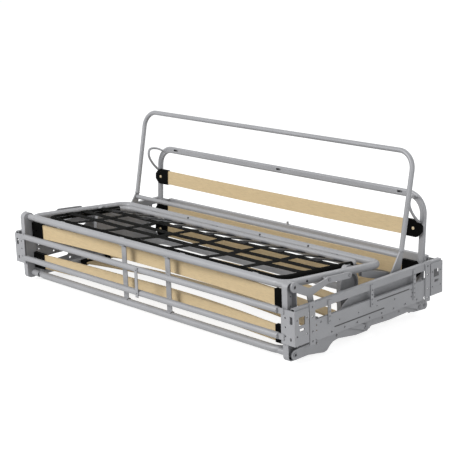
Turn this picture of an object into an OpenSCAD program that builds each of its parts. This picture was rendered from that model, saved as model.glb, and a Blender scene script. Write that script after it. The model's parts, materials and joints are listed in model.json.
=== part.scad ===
// Roll-out bed mechanism for a sofa, shown closed.
// X runs along the sofa, +Y to its back, +Z up. The origin is midway between the
// front bracket flanges, on their front faces, at half the height of the brackets.

/* [Cage] */
// Width over the corner brackets
cage_w = 1690; // [1680:5:1800]
// Depth from the front flange faces to the rear flange faces
cage_d = 844; // [820:2:880]
// Height of a corner bracket
bracket_h = 130; // [124:2:140]
// Length of a bracket's side plate, front to back
bracket_len = 73; // [70:1:76]
// Width of a bracket's flange
flange_w = 67; // [62:1:70]
// Thickness of the bracket plate
bracket_t = 4; // [3:0.5:4.5]
// Diameter of the round cage tubes
cage_tube_d = 25; // [20:1:26]
// Height of the upper cage tube above the bracket centre
tube_hi = 57; // [54:1:60]
// Depth of the lower cage tubes below the bracket centre
tube_lo = 39; // [36:1:46]
// Height of the rear beam
rear_beam_h = 40; // [34:1:44]
// Thickness of the rear beam, front to back
rear_beam_t = 18; // [15:1:18]
// Height of the side rail's section
rail_h = 28; // [24:1:32]
// Width of the side rail's section
rail_w = 18; // [15:1:18]
// Height of the pressed side beam
beam_h = 80; // [74:1:86]
// Thickness of the side beam's sheet
beam_t = 3; // [2:0.5:3]
// Width of a side post
post_w = 29; // [24:1:30]

/* [Bracket holes] */
// Radius of the bracket screw holes
screw_r = 3.3; // [2.6:0.1:3.5]
// Distance of the flange screws from the bracket's side face
flange_screw_in = 46; // [44:1:47]
// Vertical step between the flange screws
flange_screw_step = 34; // [30:1:38]
// Distance of the first side screws from the flange face
side_screw_y = 13; // [10:1:15]
// Front to back spacing of the side screws
side_screw_dy = 50; // [47:1:53]
// Vertical spacing of the side screws
side_screw_dz = 60; // [50:1:70]

/* [Lifting links] */
// Distance between a link's pivots
link_len = 290; // [288:1:292]
// Angle of the links below the horizontal at rest
link_drop = 20; // [19:0.5:21]
// Radius of a link's round ends
link_end_r = 14; // [12:0.5:14.5]
// Width of a link's bar
link_w = 22; // [18:1:24]
// Thickness of a link
link_t = 6; // [4:0.5:6]
// Radius of the pivot pins
pivot_r = 6; // [5:0.5:7]
// Front base pivot, from the front flange face
front_pivot_y = 140; // [138:1:144]
// Distance of the rear base pivot from the rear flange faces
rear_pivot_inset = 382; // [378:1:384]
// Running clearance of a pin in its bore, on the radius
run_gap = 0.05; // [0.02:0.01:0.08]

/* [Frame tubes] */
// Diameter of the seat and middle frame tubes
frame_tube_d = 30; // [27:1:30]
// Wall of the tubes
tube_wall = 1.5; // [1.2:0.1:2.5]
// Bend radius of the middle frame's corners, on the centre line
bend_r = 70; // [66:1:78]
// Distance of the seat and middle frames' side tubes from the cage's side face
frame_inset = 83; // [83:1:88]
// Bend radius of the seat frame's corners, on the centre line
seat_bend_r = 48; // [46:1:60]
// Hinge axis of the front panel, from the front flange face
panel_y = 39; // [38:1:42]
// Height of the panel's upper hinge axis
panel_top_z = 139; // [135:1:143]
// Depth of the panel's lower hinge axis
panel_low_z = 113; // [111:1:115]
// Distance of the middle frame's rear rail from the rear flange faces
middle_inset = 96; // [93:1:103]

/* [Front panel] */
// Width of the side channels, front to back
channel_w = 50; // [46:1:52]
// Front edge of the side channels, ahead of the hinge axis
channel_front = 31; // [27:1:32]
// Depth of the side channels
channel_d = 25.5; // [20:0.5:25.5]
// Sheet thickness of the side channels
channel_t = 3; // [2:0.5:3.5]
// Distance of each centre strap from the middle
strap_x = 133; // [110:1:180]
// Width of the centre straps
strap_w = 28; // [20:1:34]

/* [Seat section] */
// Length of the seat frame between its front and rear rails
seat_len = 531; // [525:1:533]
// Slope of the seat frame, down to the back, in degrees
seat_slope = 4.65; // [4:0.05:5]
// Diameter of the webbing loop's tube
loop_tube_d = 20; // [18:1:20]
// Distance of the webbing loop's side bars from the seat frame's side tubes
loop_inset = 65; // [63:1:72]
// Front bar of the webbing loop, behind the seat frame's front rail
loop_front = 43; // [40:1:50]
// Rear bar of the webbing loop, ahead of the seat frame's rear rail
loop_rear_inset = 53; // [49:1:61]
// Width of a webbing strap
web_w = 34; // [26:1:40]
// Thickness of the webbing
web_t = 2.4; // [1.6:0.2:3]
// Distance from the webbing's last strap across to the loop's rear bar
web_tail = 124; // [118:1:148]
// Width of the elastic tabs at the webbing's rear edge
web_tab_w = 66; // [50:1:70]

/* [Backrest and head] */
// Diameter of the backrest loop's tube
back_tube_d = 20; // [18:1:20]
// Lean of the backrest loop, in degrees from upright
back_lean = 11.75; // [10:0.25:13]
// Length of the backrest loop above its hinge
back_len = 483; // [460:1:500]
// Distance of the backrest loop's legs behind its hinge
back_offset = 40; // [36:1:44]
// Distance of the head frame's legs outside the middle frame's side tubes
head_out = 18; // [15:1:20]
// Length of the head frame, from its hinge to its top rail
head_len = 434; // [425:1:440]
// Lean of the head frame, in degrees from upright
head_lean = 3.8; // [3:0.1:4]
// Width of the head frame's oval tube
oval_w = 30; // [26:1:30]
// Thickness of the head frame's oval tube
oval_t = 16; // [14:1:16]

/* [Slats] */
// Width of a slat
slat_w = 62; // [56:1:66]
// Thickness of a slat
slat_t = 8; // [7:0.5:10]
// Distance of a slat's ends from the middle frame's side tubes
slat_inset = 46; // [44:1:60]
// Arch of the panel slats
panel_arch = 30; // [10:1:34]
// Distance of the panel slats behind the hinge plane
panel_slat_set = 15; // [12:1:16]
// Arch of the middle slats
middle_arch = 35; // [5:1:45]
// Arch of the head slats
head_arch = 12; // [5:1:20]
// Smallest spacing of the middle section's slats, which sets their number
middle_slat_step = 130; // [110:2:136]

/* [Hidden] */
$fn = 48;

// Small lengths: a cut's overshoot, a seat's gap, a rotating side gap
cut = 1;
seat_gap = 0.2;
side_gap = 0.5;
steel = [0.66, 0.66, 0.70];
steel_dark = [0.42, 0.42, 0.45];
beech = [0.86, 0.78, 0.60];
black = [0.08, 0.08, 0.08];

// Planes of the side parts, from the centre line outwards
half_w = cage_w / 2;
frame_half = half_w - frame_inset;
loop_half = frame_half - loop_inset;
loop_rear = seat_len - loop_rear_inset;
middle_len = cage_d - panel_y - middle_inset;
head_y = panel_y + middle_len + 33;
head_half = frame_half + head_out;
slat_half = frame_half - slat_inset;
frame_r = frame_tube_d / 2;
loop_r = loop_tube_d / 2;
back_r = back_tube_d / 2;
frame_out = frame_half + frame_r;
channel_in = frame_out + side_gap;
channel_out = channel_in + channel_d;
plate_t = 4;
plate_in = channel_out + 1;
plate_out = plate_in + plate_t;
lever_t = 5;
lever_in = channel_out + 1.5;
lever_out = lever_in + lever_t;
boss_out = lever_out + 3;
link_in = boss_out + 1.5;
link_out = link_in + link_t;
side_face = half_w - bracket_t;
rail_in = side_face - rail_w;
beam_in = side_face - beam_t;
back_half = frame_out + 1 + back_r;

// Heights and places that several parts share
rail_top = 73;
rail_z = rail_top - rail_h / 2;
beam_top = 8;
pivot_z = -6.5;
rear_beam_z = 50;
post_y = bracket_len + 5;
post_low = -82;
post_high = 79;
link_run = link_len * cos(link_drop);
link_pivots_y = [front_pivot_y, cage_d - rear_pivot_inset];
top_pivot_z = pivot_z - link_len * sin(link_drop);
pin_head_r = pivot_r + 3;
pin_head_t = 2;
collar_r = pivot_r + 5;
barrel_r = 13;
barrel_bore = 9;
barrel_len = 46;
hinge_pin_r = barrel_bore - run_gap;
head_pin_r = 5;

// Backrest hinge and prop pivot, in the seat frame's plane
back_hinge = [seat_len + 36, -53];
prop_pivot = [seat_len - 168, 0];

// Slat caps
cap_t = 16;
cap_grip = 12;
cap_edge = 3;
cap_w = slat_w + 2 * cap_edge;

// Mirrors a right-hand part to the left-hand side when side is -1
module on_side(side) {
    if (side > 0) children();
    else mirror([1, 0, 0]) children();
}

module both_sides() {
    children();
    mirror([1, 0, 0]) children();
}

// Cylinder along X from x0 to x1
module rod_x(x0, x1, y, z, r) {
    translate([x0, y, z]) rotate([0, 90, 0]) cylinder(h = x1 - x0, r = r);
}

// Cylinder along Y from y0 to y1
module rod_y(x, y0, y1, z, r) {
    translate([x, y0, z]) rotate([-90, 0, 0]) cylinder(h = y1 - y0, r = r);
}

// Box given by two opposite corners
module box(a, b) {
    translate(a) cube(b - a);
}

// Plate across X whose outline is drawn in the Y-Z plane
module plate_x(x0, t) {
    translate([x0, 0, 0]) rotate([90, 0, 90]) linear_extrude(t) children();
}

// Rectangle with rounded corners, from one corner to the other
module rounded(a, b, r) {
    translate([a[0] + r, a[1]]) square([b[0] - a[0] - 2 * r, b[1] - a[1]]);
    translate([a[0], a[1] + r]) square([b[0] - a[0], b[1] - a[1] - 2 * r]);
    for (x = [a[0] + r, b[0] - r], y = [a[1] + r, b[1] - r]) translate([x, y]) circle(r = r);
}

// Points of an arc from one angle to another
function arc_points(c, r, from, to, n = 14) =
    [for (i = [0:n]) let (t = from + (to - from) * i / n) c + r * [cos(t), sin(t)]];

// Tapered arm: two round ends and the tangents that join them
module arm(a, b, ra, rb) {
    along = atan2(b[1] - a[1], b[0] - a[0]);
    open = acos((ra - rb) / norm(b - a));
    polygon(concat(arc_points(a, ra, along + open, along + 360 - open),
        arc_points(b, rb, along - open, along + open)));
}

// Section of a round tube
module ring(d) {
    difference() {
        circle(d = d);
        circle(d = d - 2 * tube_wall);
    }
}

// Rectangle with half-round ends, w over its ends and t thick
module obround(w, t) {
    square([w - t, t], center = true);
    for (s = [-1, 1]) translate([s * (w - t) / 2, 0]) circle(d = t);
}

// Section of the head frame's oval tube
module oval_ring() {
    difference() {
        obround(oval_w, oval_t);
        obround(oval_w - 2 * tube_wall, oval_t - 2 * tube_wall);
    }
}

// Straight run of a section along +Y, from y0 to y1
module run_y(x, y0, y1) {
    translate([x, y0, 0]) rotate([-90, 0, 0]) linear_extrude(y1 - y0) children();
}

// Straight run of a section along +X, from x0 to x1
module run_x(y, x0, x1) {
    translate([x0, y, 0]) rotate([90, 0, 90]) linear_extrude(x1 - x0) children();
}

// Quarter bend of a section about a corner at the far end of a leg
module bend(side, half, len, r) {
    on_side(side) translate([half - r, len - r, 0])
        rotate_extrude(angle = 90) translate([r, 0]) children();
}

// U in the X-Y plane: two legs along +Y joined by bends and a cross bar
module u_tube(half, y0, len, r) {
    for (s = [-1, 1]) run_y(s * half, y0, len - r) children();
    for (s = [-1, 1]) bend(s, half, len, r) children();
    run_x(len, -half + r, half - r) children();
}

// Closed loop in the X-Y plane with its front bar on Y = 0
module loop_tube(half, len, r) {
    u_tube(half, r, len, r) children();
    for (s = [-1, 1]) translate([0, len, 0]) mirror([0, 1, 0]) bend(s, half, len, r) children();
    run_x(0, -half + r, half - r) children();
}

// Local planes of the sections, each with its origin on a hinge axis
module at_seat() {
    translate([0, panel_y, panel_top_z]) rotate([-seat_slope, 0, 0]) children();
}

module at_middle() {
    translate([0, panel_y, -panel_low_z]) children();
}

module at_head() {
    translate([0, head_y, -panel_low_z]) rotate([90 - head_lean, 0, 0]) children();
}

module at_backrest() {
    at_seat() translate([0, back_hinge[0], back_hinge[1]])
        rotate([90 - back_lean + seat_slope, 0, 0]) children();
}

// Frame with hinge barrels at the ends of its front rail
module barrel_frame(len, r) {
    difference() {
        union() {
            loop_tube(frame_half, len, r) ring(frame_tube_d);
            both_sides() rod_x(frame_out - barrel_len, frame_out, 0, 0, barrel_r);
        }
        both_sides() rod_x(frame_out - barrel_len - cut, frame_out + cut, 0, 0, barrel_bore);
    }
}

// Height of a slat's arch at x, and one edge of its outline
function arch_at(x, arch) = arch * (1 - pow(x / slat_half, 2));
function arch_edge(arch, off, n) =
    [for (i = [0:n]) let (x = slat_half * (2 * i / n - 1)) [x, arch_at(x, arch) + off]];
function reversed(list) = [for (i = [len(list) - 1:-1:0]) list[i]];

// One slat: long in X, its width along Y, arched to +Z
module slat(arch) {
    rotate([90, 0, 0]) linear_extrude(slat_w, center = true)
        polygon(concat(arch_edge(arch, -slat_t / 2, 20), reversed(arch_edge(arch, slat_t / 2, 20))));
}

// Moulded caps on both ends of a slat, out to x_out, with a rivet hole
module slat_caps(arch, x_out, taper) {
    x_in = slat_half - cap_grip;
    both_sides() difference() {
        translate([0, 0, -cap_t / 2]) linear_extrude(cap_t + arch_at(x_in, arch)) polygon([
            [x_in, -cap_w / 2], [x_out - taper, -cap_w / 2], [x_out, -cap_w / 2 + taper],
            [x_out, cap_w / 2 - taper], [x_out - taper, cap_w / 2], [x_in, cap_w / 2]]);
        box([x_in - cut, -slat_w / 2 - seat_gap, -slat_t / 2 - seat_gap],
            [slat_half + seat_gap, slat_w / 2 + seat_gap,
                slat_t / 2 + seat_gap + arch_at(x_in, arch)]);
        translate([(slat_half + x_out) / 2, 0, -cap_t]) cylinder(h = 3 * cap_t, r = 4);
    }
}

// Corner bracket: flange across the front, plate along the side, on the right front
module bracket() {
    z = bracket_h / 2;
    color(steel) difference() {
        union() {
            box([half_w - flange_w, 0, -z], [half_w, bracket_t, z]);
            box([side_face, 0, -z], [half_w, bracket_len, z]);
        }
        for (k = [-1, 0, 1])
            rod_y(half_w - flange_screw_in, -cut, bracket_t + cut, k * flange_screw_step, screw_r);
        for (y = [side_screw_y, side_screw_y + side_screw_dy], k = [-0.5, 0.5])
            rod_x(side_face - cut, half_w + cut, y, k * side_screw_dz, screw_r);
        // Adjusting slots of the flange, window and notch of the side plate
        box([half_w - 24, -cut, 15], [half_w - 11, bracket_t + cut, 43]);
        box([half_w - 24, -cut, -48], [half_w - 16, bracket_t + cut, -36]);
        box([side_face - cut, 22, 7], [half_w + cut, 54, 39]);
        box([side_face - cut, 26, -14], [half_w + cut, 50, -4]);
    }
}

module bracket_front(side) {
    on_side(side) bracket();
}

module bracket_rear(side) {
    on_side(side) translate([0, cage_d, 0]) mirror([0, 1, 0]) bracket();
}

// Round cage tube with flat tongues that lie on the bracket flanges
flange_edge = half_w - flange_w;
tongue_end = half_w - flange_screw_in - screw_r - 2.7;
tongue_t = 3.5;
module cage_tube(z) {
    end = flange_edge - 13;
    color(steel) difference() {
        union() {
            rod_x(-end, end, 0, 0, cage_tube_d / 2);
            both_sides() box([end - 20, -tongue_t, -cage_tube_d / 2 + 1.5],
                [tongue_end, 0, cage_tube_d / 2 - 1.5]);
        }
        rod_x(-end + 25, end - 25, 0, 0, cage_tube_d / 2 - tube_wall);
    }
}

module front_tube_upper() {
    translate([0, 0, tube_hi]) cage_tube();
}

module front_tube_lower() {
    translate([0, 0, -tube_lo]) cage_tube();
}

module rear_tube_lower() {
    translate([0, cage_d, -tube_lo]) mirror([0, 1, 0]) cage_tube();
}

module front_center_bar() {
    bar_w = 16;
    bar_t = 3;
    y = -cage_tube_d / 2 - seat_gap;
    color(steel) difference() {
        box([-bar_w / 2, y - bar_t, -tube_lo - 16], [bar_w / 2, y, tube_hi + cage_tube_d / 2]);
        for (z = [-tube_lo, tube_hi]) rod_y(0, y - bar_t - cut, y + cut, z, 3);
    }
}

// Rectangular rear beam with tongues on the rear flanges
module rear_beam() {
    end = flange_edge - 8;
    wall = 2;
    y0 = cage_d - rear_beam_t / 2;
    y1 = cage_d + rear_beam_t / 2;
    z0 = rear_beam_z - rear_beam_h / 2;
    z1 = rear_beam_z + rear_beam_h / 2;
    peg_x = 8;
    color(steel) difference() {
        union() {
            box([-end, y0, z0], [end, y1, z1]);
            both_sides() box([end - 20, cage_d, z0 + 5], [tongue_end, cage_d + tongue_t, z1 - 8]);
            translate([peg_x, cage_d, z1 - cut]) cylinder(h = 14, r = 5);
        }
        box([-end + 22, y0 + wall, z0 + wall], [end - 22, y1 - wall, z1 - wall]);
    }
}

module side_rail(side) {
    wall = 1.8;
    y0 = bracket_t + seat_gap;
    y1 = cage_d - bracket_t - seat_gap;
    on_side(side) color(steel) difference() {
        box([rail_in, y0, rail_top - rail_h], [side_face, y1, rail_top]);
        box([rail_in + wall, y0 - cut, rail_top - rail_h + wall],
            [side_face - wall, y1 + cut, rail_top - wall]);
    }
}

// Pressed side beam: a web with turned-in edges and cut lower corners
module side_beam(side) {
    y0 = post_y + 13;
    y1 = cage_d - post_y - 16;
    lip = 10;
    low = beam_top - beam_h;
    step = 30;
    crease = 1;
    on_side(side) color(steel) difference() {
        plate_x(side_face - lip, lip) polygon([[y0, beam_top], [y1, beam_top],
            [y1, low + step], [y1 - step, low], [y0 + step, low], [y0, low + step]]);
        plate_x(side_face - lip - cut, lip + cut - beam_t) polygon([
            [y0 - cut, beam_top - beam_t], [y1 + cut, beam_top - beam_t],
            [y1 + cut, low + step + beam_t], [y1 - step, low + beam_t],
            [y0 + step, low + beam_t], [y0 - cut, low + step + beam_t]]);
        for (y = [y0 + 106:70:y1 - 40]) rod_x(beam_in - cut, side_face + cut, y, -60, 4);
        for (y = [y0 + 149:105:y1 - 40]) rod_x(beam_in - cut, side_face + cut, y, -25, 3);
        for (y = [y0 + 12, y0 + 26], z = [-14, -34]) rod_x(beam_in - cut, side_face + cut, y, z, 3);
        for (y = [y1 - 96, y1 - 78], z = [-12, -40])
            rod_x(beam_in - cut, side_face + cut, y, z, 3);
        // Pressed creases along the web
        box([side_face - crease, y0 + 121, -46], [side_face + cut, y0 + 401, -43]);
        box([side_face - crease, y0 + 361, -8], [side_face + cut, y0 + 551, -5]);
    }
}

// Flat posts beside the brackets and three perforated straps between rail and beam
module side_posts(side) {
    posts = [post_y, cage_d - post_y - post_w];
    straps = [[176, -24], [cage_d / 2 - 10, -20], [cage_d - 181, -55]];
    strap_y = 15;
    on_side(side) color(steel) {
        for (y = posts) difference() {
            box([side_face, y, post_low], [half_w, y + post_w, post_high]);
            for (z = [-66, -30, 26, 62]) rod_x(side_face - cut, half_w + cut, y + post_w / 2, z, 4);
        }
        for (s = straps) difference() {
            box([side_face, s[0], s[1]], [half_w, s[0] + strap_y, rail_z + 6]);
            for (z = [s[1] + 10:18:rail_z - 12])
                rod_x(side_face - cut, half_w + cut, s[0] + strap_y / 2, z, 3);
        }
    }
}

// Fixed pins of the links, standing inwards on the side beam
module base_pivots(side) {
    on_side(side) color(steel_dark) for (y = link_pivots_y) {
        rod_x(link_out + side_gap, beam_in, y, pivot_z, collar_r);
        rod_x(link_in - side_gap - cut, link_out + side_gap + cut, y, pivot_z, pivot_r);
        rod_x(link_in - side_gap - pin_head_t, link_in - side_gap, y, pivot_z, pin_head_r);
    }
}

// Lifting link, pointing back and down from its base pivot
module link(side, base_y) {
    on_side(side) color(steel) translate([0, base_y, pivot_z]) rotate([-link_drop, 0, 0])
        difference() {
            plate_x(link_in, link_t) {
                translate([0, -link_w / 2]) square([link_len, link_w]);
                circle(r = link_end_r);
                translate([link_len, 0]) circle(r = link_end_r);
            }
            for (y = [0, link_len])
                rod_x(link_in - cut, link_out + cut, y, 0, pivot_r + run_gap);
        }
}

module middle_frame() {
    color(steel) at_middle() barrel_frame(middle_len, bend_r);
}

// Side plate of the middle section, carrying the links and the head hinge: its
// lower edge bulges round the pivots and its upper edge rises behind the middle
module middle_plate(side) {
    front = [panel_y, -panel_low_z];
    rear = [head_y, -panel_low_z];
    pivots = [for (y = link_pivots_y) y + link_run];
    holes_y = [150, 260, head_y - 261, head_y - 161];
    low = top_pivot_z - 20;
    on_side(side) color(steel) difference() {
        plate_x(plate_in, plate_t) polygon(concat(
            arc_points(front, 19, 90, 270),
            [[105, -131], [150, -138], [190, -145], [206, -142], [224, -126], [240, -116],
                [268, -112], [pivots[0] - 75, low + 4], [pivots[0] - 45, low],
                [pivots[0] + 10, low], [pivots[0] + 45, -112], [pivots[1] - 175, -117],
                [pivots[1] - 60, -114], [pivots[1] - 25, low + 2]],
            arc_points(rear, 16, 270, 430),
            [[pivots[1] - 2, -40], [pivots[1] - 14, 24], [head_y - 91, 50], [400, 54], [381, 52],
                [300, 10], [286, -6], [272, -60], [246, -84]]));
        rod_x(plate_in - cut, plate_out + cut, front[0], front[1], barrel_bore);
        rod_x(plate_in - cut, plate_out + cut, rear[0], rear[1], head_pin_r + seat_gap);
        for (y = pivots) rod_x(plate_in - cut, plate_out + cut, y, top_pivot_z, pivot_r + seat_gap);
        for (y = holes_y) rod_x(plate_in - cut, plate_out + cut, y, -98, 5);
    }
}

// Spacers between the middle frame's side tubes and the side plates
module middle_spacers() {
    color(steel_dark) both_sides() for (y = [135, 445, head_y - 91])
        rod_x(frame_out + seat_gap, plate_in, y, -panel_low_z, 8);
}

// Pins of the links on the middle section
module middle_pivots(side) {
    on_side(side) color(steel_dark) for (y = link_pivots_y) translate([0, y + link_run, 0]) {
        rod_x(plate_in - pin_head_t, plate_in, 0, top_pivot_z, pin_head_r);
        rod_x(plate_in - cut, link_out + side_gap + cut, 0, top_pivot_z, pivot_r);
        rod_x(plate_out, link_in - side_gap, 0, top_pivot_z, collar_r);
        rod_x(link_out + side_gap, link_out + side_gap + pin_head_t, 0, top_pivot_z, pin_head_r);
    }
}

// Hinge pins of the head frame
module head_pins() {
    leg_out = head_half + oval_w / 2;
    leg_in = head_half - oval_w / 2;
    color(steel_dark) both_sides() {
        rod_x(leg_in - 6, plate_out + cut, head_y, -panel_low_z, head_pin_r);
        rod_x(leg_in - 8, leg_in - 6, head_y, -panel_low_z, head_pin_r + 3);
        rod_x(leg_out + side_gap, plate_in, head_y, -panel_low_z, head_pin_r + 3);
        rod_x(plate_out, plate_out + pin_head_t, head_y, -panel_low_z, head_pin_r + 3);
    }
}

first_slat_y = 130;
slat_run = middle_len - first_slat_y - 165;
slat_steps = floor(slat_run / middle_slat_step);
middle_slats_y = [for (i = [0:slat_steps]) first_slat_y + i * slat_run / slat_steps];

module middle_slats() {
    color(beech) at_middle() for (y = middle_slats_y) translate([0, y, 0]) slat(middle_arch);
}

module middle_slat_caps() {
    color(black) at_middle() for (y = middle_slats_y) translate([0, y, 0])
        slat_caps(middle_arch, frame_half - frame_r - seat_gap, 4);
}

// Deep side channel of the front panel, open outwards, with rounded ends
channel_y = [panel_y - channel_front, panel_y - channel_front + channel_w];
channel_z = [-panel_low_z - 21, panel_top_z + 18];
module panel_channel(side) {
    r = 18;
    t = channel_t;
    on_side(side) color(steel) difference() {
        plate_x(channel_in, channel_d)
            rounded([channel_y[0], channel_z[0]], [channel_y[1], channel_z[1]], r);
        plate_x(channel_in + t, channel_d) rounded([channel_y[0] + t, channel_z[0] + t],
            [channel_y[1] - t, channel_z[1] - t], r - t);
        for (z = [-panel_low_z, panel_top_z])
            rod_x(channel_in - cut, channel_in + t + cut, panel_y, z, barrel_bore);
        for (z = panel_slats_z, s = [-1, 1])
            rod_x(channel_in - cut, channel_in + t + cut, panel_y + panel_slat_set - 4, z + s * 18, 3);
        for (z = [-20:40:60])
            rod_y(channel_in + 14, channel_y[0] - cut, channel_y[0] + t + cut, z, 3);
    }
}

// Hollow hinge pins of the front panel, through frame barrel, channel and outer plate
module panel_pin(z, x_end) {
    difference() {
        union() {
            rod_x(frame_out - barrel_len + 4, x_end, panel_y, z, hinge_pin_r);
            rod_x(channel_in + channel_t, channel_in + channel_t + 4, panel_y, z, barrel_r);
        }
        rod_x(frame_out - barrel_len, x_end + cut, panel_y, z, hinge_pin_r - 3);
    }
}

module panel_pins() {
    color(steel) both_sides() {
        panel_pin(-panel_low_z, plate_out + 2);
        panel_pin(panel_top_z, boss_out + 0.5);
    }
}

panel_slats_z = [57 - panel_low_z, panel_top_z - 60];

module panel_slats() {
    color(beech) for (z = panel_slats_z) translate([0, panel_y + panel_slat_set, z])
        rotate([-90, 0, 0]) slat(panel_arch);
}

module panel_slat_caps() {
    color(black) for (z = panel_slats_z) translate([0, panel_y + panel_slat_set, z])
        rotate([-90, 0, 0]) slat_caps(panel_arch, channel_in, 0);
}

// Flat straps between the rails, with saddles that follow the rails' undersides
module panel_straps() {
    strap_t = 3;
    bore = frame_r + side_gap;
    reach = 42;
    upper = [panel_y, panel_top_z];
    lower = [panel_y, -panel_low_z];
    color(steel_dark) for (s = [-1, 1]) plate_x(s * strap_x - strap_w / 2, strap_w) {
        translate([panel_y - strap_t / 2, -panel_low_z + bore + 1])
            square([strap_t, panel_top_z + panel_low_z - 2 * bore - 2]);
        polygon(concat(arc_points(upper, bore + strap_t, 270 - reach, 270 + reach),
            arc_points(upper, bore, 270 + reach, 270 - reach)));
        polygon(concat(arc_points(lower, bore + strap_t, 90 - reach, 90 + reach),
            arc_points(lower, bore, 90 + reach, 90 - reach)));
    }
}

module seat_frame() {
    color(steel) at_seat() barrel_frame(seat_len, seat_bend_r);
}

loop_bend_r = 45;
module webbing_loop() {
    color(steel) at_seat() translate([0, loop_front, 0])
        loop_tube(loop_half, loop_rear - loop_front, loop_bend_r) ring(loop_tube_d);
}

// The webbing's plane lies on the loop; its net fills the space between the hems
web_z = loop_r + seat_gap;
web_top = web_z + web_t;
web_columns = 7;
web_pitch_x = 2 * loop_half / web_columns;
web_pitch_y = (loop_rear - loop_front - web_tail - web_w / 2) / 3;
hem_flat = 17;
web_rows = [for (i = [1:3]) loop_front + i * web_pitch_y];
web_end = web_rows[2] + web_w / 2;
module webbing() {
    net_x = loop_half - hem_flat;
    color(black) at_seat() {
        for (i = [1:web_columns - 1]) {
            x = i * web_pitch_x - loop_half;
            box([x - web_w / 2, loop_front + hem_flat, web_z], [x + web_w / 2, web_end, web_top]);
        }
        for (y = web_rows) box([-net_x, y - web_w / 2, web_z], [net_x, y + web_w / 2, web_top]);
    }
}

// Section of a hem: a flat strip and its fold round a loop bar, which ends at an angle
module hem(turn) {
    polygon(concat([[hem_flat, -web_top]], arc_points([0, 0], web_top, 270, 270 - turn, 12),
        arc_points([0, 0], web_z, 270 - turn, 270, 12), [[hem_flat, -web_z]]));
}

// Section of a strap that dips behind the last row, under the rear bar and up behind it
module dip() {
    run = loop_rear - web_end;
    slant = atan2(web_top, run) + asin(web_z / norm([run, web_top]));
    polygon(concat([[-run, web_top]], arc_points([0, 0], web_z, 270 - slant, 400, 12),
        arc_points([0, 0], web_top, 400, 270 - slant, 12), [[-run, web_z]]));
}

// Folded edges of the webbing on the front and side bars, and the ends and elastic
// tabs that hold its last row to the rear bar
module webbing_hems() {
    straight = loop_half - loop_bend_r;
    fold = 200;
    tie = lug + 2;
    color(black) at_seat() {
        difference() {
            translate([-straight, loop_front, 0]) rotate([90, 0, 90])
                linear_extrude(2 * straight) mirror([0, 1]) hem(fold);
            for (x = front_lug_x) box([x - tie, loop_front - web_top - cut, -6],
                [x + tie, loop_front, 6]);
        }
        both_sides() difference() {
            run_y(loop_half, loop_front + loop_bend_r, loop_rear - loop_bend_r)
                mirror([1, 0]) hem(fold);
            box([loop_half, side_tie_y[0] - 2, -6],
                [loop_half + web_top + cut, side_tie_y[1] + 2, 6]);
        }
        for (i = [1:web_columns - 1]) strap_end(i * web_pitch_x - loop_half, web_w);
        for (i = [1:web_columns]) strap_end((i - 0.5) * web_pitch_x - loop_half, web_tab_w);
    }
}

module strap_end(x, w) {
    translate([x - w / 2, loop_rear, 0]) rotate([90, 0, 90]) linear_extrude(w) dip();
}

// Flat ties that join the webbing loop to the seat frame, clear of the straps
lug = 14;
front_lug_x = [for (s = [-1, 1], i = [0, 2]) s * ((i + 0.5) * web_pitch_x + 85)];
rear_lug_x = [for (s = [-1, 1], i = [0, 2]) s * ((i + 0.5) * web_pitch_x + 43)];
side_tie_y = [seat_len - 139, seat_len - 114];
module seat_tie_plates() {
    t = 2;
    color(steel_dark) at_seat() {
        both_sides() box([loop_half + loop_r + seat_gap, side_tie_y[0], -t],
            [frame_half - frame_r - seat_gap, side_tie_y[1], t]);
        for (x = front_lug_x) box([x - lug, frame_r + seat_gap, -t],
            [x + lug, loop_front - loop_r - seat_gap, t]);
        for (x = rear_lug_x) box([x - lug, loop_rear + loop_r + seat_gap, -t],
            [x + lug, seat_len - frame_r - seat_gap, t]);
    }
}

// Bell crank on the seat's hinge axis, bolted to the seat frame's side tube
lever_bolts_y = [186, 296];
module seat_lever(side) {
    knee = [82, -32];
    low = [98, -87];
    boss_r = 19;
    on_side(side) color(steel) at_seat() difference() {
        union() {
            plate_x(lever_in, lever_t) {
                arm([0, 0], knee, 16, 15);
                arm(knee, [lever_bolts_y[0], 0], 15, 11);
                arm([lever_bolts_y[0] - 8, 0], [lever_bolts_y[1], 0], 12, 12);
                arm(knee, low, 14, 12);
                translate(knee) circle(r = 17);
            }
            rod_x(lever_in, boss_out, 0, 0, boss_r);
        }
        rod_x(lever_in - cut, boss_out + cut, 0, 0, barrel_bore);
        for (y = lever_bolts_y) rod_x(lever_in - cut, lever_out + cut, y, 0, 4 + seat_gap);
        rod_x(lever_in - cut, lever_out + cut, low[0], low[1], 5);
    }
}

module lever_bolts() {
    color(steel_dark) both_sides() at_seat() for (y = lever_bolts_y) {
        rod_x(frame_out + seat_gap, lever_in, y, 0, 7);
        rod_x(lever_in - cut, lever_out + cut, y, 0, 4);
        rod_x(lever_out, lever_out + pin_head_t, y, 0, 7);
    }
}

// Rounded arms under the seat frame's rear corners, carrying the backrest
arm_in = frame_half - 12;
arm_t = 16;
module backrest_arms() {
    color(steel) both_sides() at_seat() difference() {
        plate_x(arm_in, arm_t) arm([seat_len - 101, -21], back_hinge, 15, 15);
        rod_y(frame_half, seat_len - 151, seat_len - seat_bend_r + cut, 0, frame_r + seat_gap);
        rod_x(arm_in - cut, arm_in + arm_t + cut, back_hinge[0], back_hinge[1],
            pivot_r + seat_gap);
    }
}

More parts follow.
